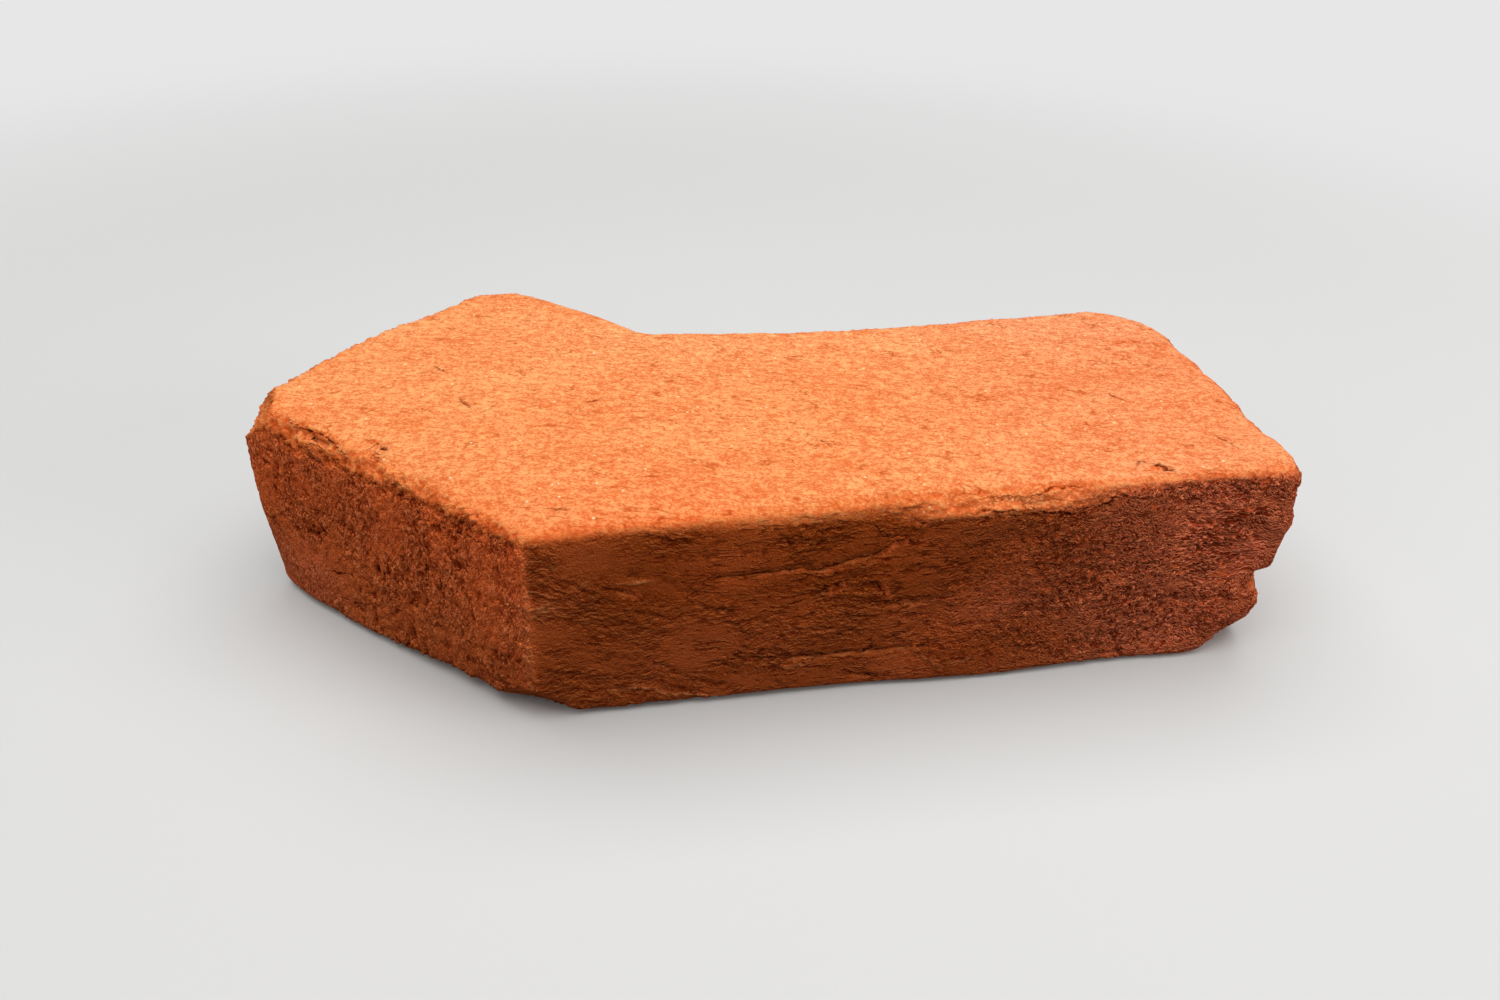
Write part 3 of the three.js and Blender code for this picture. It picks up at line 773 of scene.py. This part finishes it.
clay = {
    "bed": (0.82, 0.247, 0.081, 1),
    # pale patches of the clay, also used as a painted highlight on raised grain; the next three are painted
    # shade in dents, cracks and hollows
    "bed pale and highlight": (0.90, 0.42, 0.155, 1),
    "bed dent shade": (0.71, 0.145, 0.032, 1),
    "bed crack": (0.52, 0.075, 0.008, 1),
    "bed hollow shade": (0.52, 0.085, 0.016, 1),
    "side": (0.385, 0.066, 0.010, 1),
    # a painted highlight and a painted shade for the side faces
    "side highlight": (0.68, 0.205, 0.060, 1),
    "side painted shade": (0.15, 0.013, 0.001, 1),
    "side smear": (0.42, 0.08, 0.017, 1),  # where a palm has smoothed the face
    # a painted highlight on the raised burrs
    "burr": (0.80, 0.27, 0.09, 1),
    # a painted shade tint for the crumbly rims
    "rim shade tint": (1.0, 0.83, 0.69, 1),
    # towards the long end the clay turns pinker; the side faces there are also painted lighter, as painted
    # light
    "bed end tint": (0.98, 0.97, 1.13, 1),
    "side end tint and light": (1.62, 1.58, 2.55, 1),
    "side bend tint": (0.98, 0.97, 0.93, 1),
    # painted light on the header face
    "header light tint": (2.4, 2.35, 3.1, 1),
    "header low tint": (0.68, 0.77, 0.80, 1),
    "header foot tint": (1.12, 1.12, 1.5, 1),
    "side shade tint": (0.86, 0.80, 0.60, 1),
    "bed far tint": (1.02, 1.13, 1.25, 1),
    "bed front tint": (0.99, 0.86, 0.82, 1),
    "pale grit": (1.0, 0.70, 0.42, 1),
    "dark grit": (0.30, 0.06, 0.02, 1),
    "roughness": (0.86, 1.0),               # of the raised and of the sunken clay
    "shine": 0.03,
    # heights of the fine relief
    "bed grain": 0.05,
    "bed lumps": 0.045,
    "bed cracks": 0.04,
    "wrinkles": 0.26,
    "flakes": 0.2,
    "swells": 0.16,
    "curls": 0.9,
    "curl width": 0.36,                     # how wide the strings are, against how fast the clay rises
    "streaks": 0.27,
    "side grain": 0.09,
    "side cracks": 0.28,
    "crack lip": 0.45,                      # how far above a crack its pale lip, a painted highlight, lies
    "light reach": 0.3,                     # clay above or below this is what makes a spot painted pale as a highlight or deep as shade
}


def blend(tree, share, first, second, kind="MIX"):
    node = put(tree, "ShaderNodeMix", data_type="RGBA", blend_type=kind, clamp_factor=True)
    feed(tree, node.inputs[0], share)
    feed(tree, node.inputs[6], first)
    feed(tree, node.inputs[7], second)
    return node.outputs[2]


def tinted(tree, share, colour, tint):
    return blend(tree, share, colour, blend(tree, 1.0, colour, clay[tint], "MULTIPLY"))


def specks(tree, place, size, amount):
    # single grains scattered through the clay
    cells = put(tree, "ShaderNodeTexVoronoi", {"Vector": place, "Scale": 1 / size, "Randomness": 1.0})
    chosen = put(tree, "ShaderNodeSeparateColor", {0: cells.outputs["Color"]}).outputs[0]
    inside = fade(tree, cells.outputs["Distance"], 0.18, 0.3)
    return product(tree, inside, maths(tree, "LESS_THAN", chosen, amount))


# Height of the fine skin on the side faces, in millimetres: thin folds, curls or streaks.
def skinGroup():
    tree, given, result = makeGroup("side skin", "ShaderNodeTree", [
        ("Place", "NodeSocketVector", None),
        ("Granular", "NodeSocketFloat", 0.0),
        ("Header", "NodeSocketFloat", 0.0),
        ("Rough", "NodeSocketFloat", 1.0),
    ], [("Height", "NodeSocketFloat")])
    place = given["Place"]
    drift = put(tree, "ShaderNodeTexNoise", {"Vector": place, "Scale": 0.05, "Detail": 1.0})
    drift = vectors(tree, "SUBTRACT", drift.outputs["Color"], Vector((0.5, 0.5, 0.5)))
    flowing = vectors(tree, "MULTIPLY_ADD", drift, Vector((5, 5, 12)), place)
    wrinkles = noise(tree, flowing, 1.25, (1.4, 1.4, 1), detail=4.0, roughness=0.7, shift=4.1)
    # curled strings of clay, combed level near the upper corner of the long end
    x, _, z = put(tree, "ShaderNodeSeparateXYZ", {0: place}).outputs
    combed = product(tree, ease(tree, x, *spans["combed start"]), fade(tree, x, *spans["combed end"]),
                     ease(tree, z, *spans["combed foot"]), fade(tree, z, *spans["combed top"]))
    curls = noise(tree, flowing, 1.5, (1.3, 1.3, 1), detail=3.0, roughness=0.65, distortion=1.0, shift=9.7)
    level = noise(tree, flowing, 1.3, (4.5, 4.5, 1), detail=3.0, roughness=0.6, distortion=0.3, shift=14.2)
    curls = maths(tree, "DIVIDE", total(tree, product(tree, curls, opposite(tree, combed)),
                                        product(tree, level, combed)), clay["curl width"])
    curls = total(tree, bell(tree, curls), product(tree, curls, 0.12), -0.35)
    narrow = noise(tree, place, 0.6, (1, 1, 3.2), detail=2.0, roughness=0.55, shift=3.3)
    wide = noise(tree, place, 2.1, (1, 1, 2.4), detail=2.0, roughness=0.5, shift=23.3)
    uneven = ease(tree, noise(tree, place, 9, (1, 1, 1.5), detail=1.0, shift=61.7), -0.7, 0.7, 0.6, 1.25)
    streaks = product(tree, total(tree, narrow, product(tree, wide, 0.9)), uneven,
                      ease(tree, z, *spans["streaked height"], 0.75, 1.05))
    # near the bend the wrinkles are wider and softer
    swells = noise(tree, flowing, 2.2, (1.7, 1.7, 1), detail=2.0, roughness=0.55, shift=51.3)
    swells = product(tree, swells, ease(tree, x, *spans["soft swells"], 1.0, 0.5))
    grain = noise(tree, place, 0.5, detail=2.0, roughness=0.7, shift=6.6)
    flakes = shingles(tree, flowing, 1.6, (1.5, 1.5, 1), 11.3)
    wrinkled = maths(tree, "SUBTRACT", opposite(tree, given["Header"]), given["Granular"])
    wrinkled = product(tree, wrinkled, ramp(tree, given["Rough"], 0.1, 1.0, 0.35, 1.15))
    height = total(tree, product(tree, wrinkles, wrinkled, clay["wrinkles"]),
                   product(tree, swells, wrinkled, clay["swells"]),
                   product(tree, flakes, wrinkled, clay["flakes"]),
                   product(tree, curls, given["Granular"], clay["curls"]),
                   product(tree, streaks, given["Header"], clay["streaks"]),
                   product(tree, grain, clay["side grain"]))
    tree.links.new(height, result["Height"])
    return tree


# Fine lines on the long side faces: rows of them run along the middle and across the far end.
def crackGroup():
    tree, given, result = makeGroup("side cracks", "ShaderNodeTree", [
        ("Place", "NodeSocketVector", None),
    ], [("Line", "NodeSocketFloat")])
    place = given["Place"]
    x, _, z = put(tree, "ShaderNodeSeparateXYZ", {0: place}).outputs
    rows = total(tree, product(tree, ease(tree, x, *spans["first rows"]),
                               fade(tree, x, *spans["first rows end"])),
                 product(tree, ease(tree, x, *spans["far rows"]), ease(tree, z, *spans["far rows height"])))
    line = total(tree, fissures(tree, place, 4.2, (4.5, 4.5, 1), 0.085, 0.5, 8.8),
                 product(tree, fissures(tree, place, 1.9, (4.0, 4.0, 1), 0.15, 0.5, 35.8),
                         ramp(tree, rows, 0.0, 1.0, 0.35, 1.0)))
    tree.links.new(line, result["Line"])
    return tree


def makeClay():
    material = bpy.data.materials.new("fired clay")
    material.use_nodes = True
    tree = material.node_tree
    shader = tree.nodes["Principled BSDF"]
    shader.inputs["Specular IOR Level"].default_value = clay["shine"]
    objectPlace = put(tree, "ShaderNodeTexCoord").outputs["Object"]
    place = put(tree, "ShaderNodeMapping", {"Vector": objectPlace, "Scale": (1000, 1000, 1000)}).outputs[0]
    bed, header, granular, form, crumbly, rough = (
        put(tree, "ShaderNodeAttribute", attribute_name=name).outputs["Fac"]
        for name in ("bed", "header", "granular", "form", "crumbly", "rough"))
    side = opposite(tree, bed)
    x, y, z = put(tree, "ShaderNodeSeparateXYZ", {0: place}).outputs

    # fine relief, in millimetres
    skin = skinGroup()

    def skinAt(spot):
        node = put(tree, "ShaderNodeGroup", node_tree=skin)
        for label, value in (("Place", spot), ("Granular", granular), ("Header", header), ("Rough", rough)):
            feed(tree, node.inputs[label], value)
        return node.outputs["Height"]

    sideHeight = skinAt(place)
    above = skinAt(vectors(tree, "ADD", place, Vector((0, 0, clay["light reach"]))))
    # the bed was struck off by hand, so its ripples lie a little aslant
    aslant = put(tree, "ShaderNodeCombineXYZ", {1: product(tree, x, 0.17)}).outputs[0]
    aslant = vectors(tree, "ADD", place, aslant)
    grain = noise(tree, aslant, 0.65, (1.3, 1, 1), detail=3.0, roughness=0.75, shift=6.6)
    bedLumps = noise(tree, aslant, 1.5, (1.7, 1, 1), detail=4.0, roughness=0.65, shift=1.9)
    clusters = ease(tree, noise(tree, place, 16, (1.5, 1, 1), detail=2.0, shift=29.3), -0.7, 0.7)
    strokes = noise(tree, aslant, 1.8, (1.9, 1, 1), detail=4.0, roughness=0.6, shift=45.1)
    strokes = product(tree, ease(tree, strokes, 0.7, 1.7), ramp(tree, clusters, 0.0, 1.0, 0.25, 1.0))
    bedCracks = total(tree, fissures(tree, aslant, 7.0, (1.8, 1, 1), 0.12, 0.24, 5.3),
                      product(tree, fissures(tree, aslant, 3.2, (2.0, 1, 1), 0.18, 0.24, 25.3), clusters,
                              ease(tree, x, *spans["bed past bend"], 0.45, 1.0)))
    bedHeight = total(tree, product(tree, grain, clay["bed grain"]),
                      product(tree, bedLumps, clay["bed lumps"]),
                      product(tree, bedCracks, -clay["bed cracks"]))
    cracks = crackGroup()
    onLongSide = opposite(tree, header)
    plain = product(tree, side, onLongSide, ease(tree, x, *spans["cracked side"], 0.4, 1.0))
    sideCracks, lips = (
        product(tree, put(tree, "ShaderNodeGroup", {"Place": spot}, node_tree=cracks).outputs["Line"], plain)
        for spot in (place, vectors(tree, "SUBTRACT", place, Vector((0, 0, clay["crack lip"])))))
    # the lip just above each crack, painted pale later as a highlight
    lips = product(tree, lips, ramp(tree, sideCracks, 0.0, 0.4, 1.0, 0.0))
    heights = [product(tree, sideHeight, side, ramp(tree, granular, 0.0, 1.0, 1.0, 0.45)),
               product(tree, bedHeight, bed),
               product(tree, sideCracks, -clay["side cracks"])]
    thin, deep, ridge = [], [], []
    for name, mark in marks.items():
        both = put(tree, "ShaderNodeAttribute", attribute_name=name).outputs["Vector"]
        parts = put(tree, "ShaderNodeSeparateXYZ", {0: both}).outputs
        distance = total(tree, parts["X"], product(tree, bedLumps, 0.2), product(tree, grain, 0.12))
        height, strength = grooveHeight(tree, mark, distance, parts["Y"])
        heights.append(height)
        {"pits": deep, "burrs": ridge}.get(name, thin).append(strength)
    height = total(tree, *heights)

    mottle = noise(tree, place, 10, (1.8, 1, 1), detail=4.0, roughness=0.6, shift=2.7)
    yellow = ease(tree, noise(tree, place, 34, (1.3, 1, 1), detail=2.0, shift=19.3), 0.1, 1.3, 0.0, 0.25)
    # the bed's tone follows random mottle and the height of its grain, lumps and crumbs: high clay is painted
    # pale as a highlight and low clay darker as painted shade
    tone = total(tree, product(tree, grain, 1.6), product(tree, bedLumps, 1.25), product(tree, mottle, 0.4),
                 product(tree, form, crumbly, 1.5))
    bedColour = blend(tree, yellow, clay["bed"], clay["bed pale and highlight"])
    bedColour = blend(tree, ramp(tree, tone, 0.0, 1.6, 0.0, 0.9), bedColour, clay["bed pale and highlight"])
    bedColour = blend(tree, ramp(tree, tone, 0.0, -1.6, 0.0, 0.9), bedColour, clay["bed dent shade"])
    # painted shade: sunken crumbs, cracks and strokes of the bed are painted darker
    sunken = ramp(tree, product(tree, form, crumbly), -0.25, -0.8, 0.0, 0.8)
    bedColour = blend(tree, sunken, bedColour, clay["bed hollow shade"])
    sunken = total(tree, product(tree, bedCracks, 0.75), product(tree, strokes, 0.4))
    bedColour = blend(tree, sunken, bedColour, clay["bed crack"])

    # painted light: what faces up is painted pale as a highlight, and what faces down and the hollows are
    # painted deep as shade
    facing = maths(tree, "SUBTRACT", sideHeight, above)
    low = total(tree, product(tree, sideHeight, ramp(tree, granular, 0.0, 1.0, 1.0, 1.2)),
                product(tree, form, 0.6), product(tree, sideCracks, -1.0))
    smear = product(tree, ramp(tree, rough, 0.6, 0.12), onLongSide, 0.7)
    sideColour = blend(tree, smear, clay["side"], clay["side smear"])
    sideColour = blend(tree, ramp(tree, facing, 0.0, 0.4, 0.0, 0.9), sideColour, clay["side highlight"])
    # raised clay and the lips just above cracks are painted pale too, as painted highlight
    raised = ramp(tree, total(tree, sideHeight, product(tree, form, 0.5)), 0.15, 0.9, 0.0, 0.45)
    sideColour = blend(tree, maths(tree, "MAXIMUM", product(tree, lips, 0.6), raised), sideColour,
                       clay["side highlight"])
    sideColour = blend(tree, ramp(tree, facing, 0.0, -0.4, 0.0, 0.7), sideColour, clay["side painted shade"])
    sideColour = blend(tree, ramp(tree, low, -0.05, -0.6, 0.0, 0.8), sideColour, clay["side painted shade"])
    # painted light: the header face, away from its crumbly edge, is painted lighter
    inside = product(tree, header, ramp(tree, crumbly, 0.15, 0.8, 1.0, 0.35))
    sideColour = tinted(tree, inside, sideColour, "header light tint")
    headerLow = product(tree, fade(tree, z, *spans["header low"]), header)
    sideColour = tinted(tree, headerLow, sideColour, "header low tint")
    upper = product(tree, ease(tree, z, *spans["shade height"]), ease(tree, x, *spans["shade start"]),
                    fade(tree, x, *spans["shade end"]), onLongSide)
    nearFoot = fade(tree, z, *spans["low shade height"])
    lower = product(tree, nearFoot, ease(tree, x, *spans["low shade start"]),
                    fade(tree, x, *spans["low shade end"]))
    sideColour = tinted(tree, maths(tree, "MAXIMUM", upper, lower), sideColour, "side shade tint")
    fromBend = vectors(tree, "DOT_PRODUCT", place, headerAlong)
    foot = product(tree, ease(tree, fromBend, *spans["header foot"]), nearFoot, header)
    sideColour = tinted(tree, foot, sideColour, "header foot tint")
    byBend = product(tree, fade(tree, x, *spans["side bend"]), onLongSide)
    sideColour = tinted(tree, byBend, sideColour, "side bend tint")
    # the long end is painted pinker, and its side faces also lighter as painted light
    farEnd = ease(tree, x, *spans["pink end"])
    sideColour = tinted(tree, farEnd, sideColour, "side end tint and light")
    bedColour = tinted(tree, farEnd, bedColour, "bed end tint")
    farSide = product(tree, ease(tree, y, *spans["far side"]),
                      ease(tree, x, *spans["bed past bend"], 0.4, 1.1))
    bedColour = tinted(tree, farSide, bedColour, "bed far tint")
    front = product(tree, fade(tree, y, *spans["bed front"]),
                    ease(tree, x, *spans["bed front start"]), fade(tree, x, *spans["bed front end"]))
    bedColour = tinted(tree, front, bedColour, "bed front tint")
    # painted shade: the crumbly rims and strip are tinted redder, as the clay looks in shade
    bedColour = tinted(tree, crumbly, bedColour, "rim shade tint")
    colour = blend(tree, bed, sideColour, bedColour)
    # painted shade: the thin marks and the pits are painted dark
    colour = blend(tree, ramp(tree, total(tree, *thin), 0.0, 0.75, 0.0, 0.95), colour,
                   blend(tree, bed, clay["side painted shade"], clay["bed crack"]))
    colour = blend(tree, ramp(tree, total(tree, *deep), 0.05, 0.6, 0.0, 1.0), colour, clay["side painted shade"])
    # painted highlight: raised burrs on the side faces are painted pale
    colour = blend(tree, product(tree, total(tree, *ridge), side, 0.9), colour, clay["burr"])
    colour = blend(tree, product(tree, specks(tree, place, 1.6, 0.03), bed, 0.75), colour, clay["pale grit"])
    colour = blend(tree, product(tree, specks(tree, place, 1.7, 0.006), 0.6), colour, clay["dark grit"])
    tree.links.new(colour, shader.inputs["Base Color"])
    tree.links.new(ramp(tree, height, 0.2, -0.2, *clay["roughness"]), shader.inputs["Roughness"])
    bump = put(tree, "ShaderNodeBump", {"Strength": 1.0, "Distance": mm, "Height": height})
    tree.links.new(bump.outputs[0], shader.inputs["Normal"])
    return material


makeBrick(makeClay())

studio = {
    "floor": (0.62, 0.62, 0.61, 1),         # as the camera sees it
    "floor bounce": (0.16, 0.155, 0.15, 1),  # as it lights the brick
    "floor size": 6.0,                      # metres
    "floor fade": (0.24, 0.75),             # metres, where the floor runs into the backdrop
    "backdrop": 0.8,
    # lamps: watts, then size and place in metres
    "lamps": {
        "key": (18.0, (1.6, 1.4), (0.05, 0.05, 1.0)),
        "left fill": (2.7, (0.8, 0.8), (-1.0, -0.45, 0.5)),
        "right fill": (3.8, (0.5, 0.5), (0.9, -0.5, 0.35)),
    },
    "aim": (0.05, 0, 0.03),                 # metres
    "world": 0.04,
}


def makeStudio():
    size = studio["floor size"] / 2
    mesh = bpy.data.meshes.new("floor")
    corners = [(-size, -size, 0), (size, -size, 0), (size, size, 0), (-size, size, 0)]
    mesh.from_pydata(corners, [], [(0, 1, 2, 3)])
    floor = bpy.data.objects.new("floor", mesh)
    scene.collection.objects.link(floor)
    material = bpy.data.materials.new("floor")
    material.use_nodes = True
    tree = material.node_tree
    shader = tree.nodes["Principled BSDF"]
    shader.inputs["Roughness"].default_value = 1.0
    shader.inputs["Specular IOR Level"].default_value = 0.0
    colour = blend(tree, seen(tree), studio["floor bounce"], studio["floor"])
    tree.links.new(colour, shader.inputs["Base Color"])
    away = vectors(tree, "LENGTH", put(tree, "ShaderNodeTexCoord").outputs["Object"])
    backdrop = put(tree, "ShaderNodeEmission", {"Strength": studio["backdrop"]})
    mixed = put(tree, "ShaderNodeMixShader", {
        0: product(tree, ease(tree, away, *studio["floor fade"]), seen(tree)),
        1: shader.outputs[0], 2: backdrop.outputs[0]})
    tree.links.new(mixed.outputs[0], tree.nodes["Material Output"].inputs["Surface"])
    mesh.materials.append(material)
    for name, (power, extent, place) in studio["lamps"].items():
        data = bpy.data.lights.new(name, "AREA")
        data.shape = "RECTANGLE"
        data.size, data.size_y = extent
        data.energy = power
        lamp = bpy.data.objects.new(name, data)
        turn = (Vector(studio["aim"]) - Vector(place)).to_track_quat("-Z", "Y")
        lamp.matrix_world = Matrix.Translation(place) @ turn.to_matrix().to_4x4()
        scene.collection.objects.link(lamp)
    world = bpy.data.worlds.new("studio")
    scene.world = world
    world.use_nodes = True
    tree = world.node_tree
    background = tree.nodes["Background"]
    strength = put(tree, "ShaderNodeMix", {
        0: seen(tree), 2: studio["world"], 3: studio["backdrop"]}, data_type="FLOAT")
    tree.links.new(strength.outputs[0], background.inputs["Strength"])
    background.inputs["Color"].default_value = (1, 1, 1, 1)


def seen(tree):
    # 1 where the camera sees a surface itself, 0 where the surface lights the brick
    return put(tree, "ShaderNodeLightPath").outputs["Is Camera Ray"]


makeStudio()
scene.view_settings.view_transform = "Standard"
say("studio")
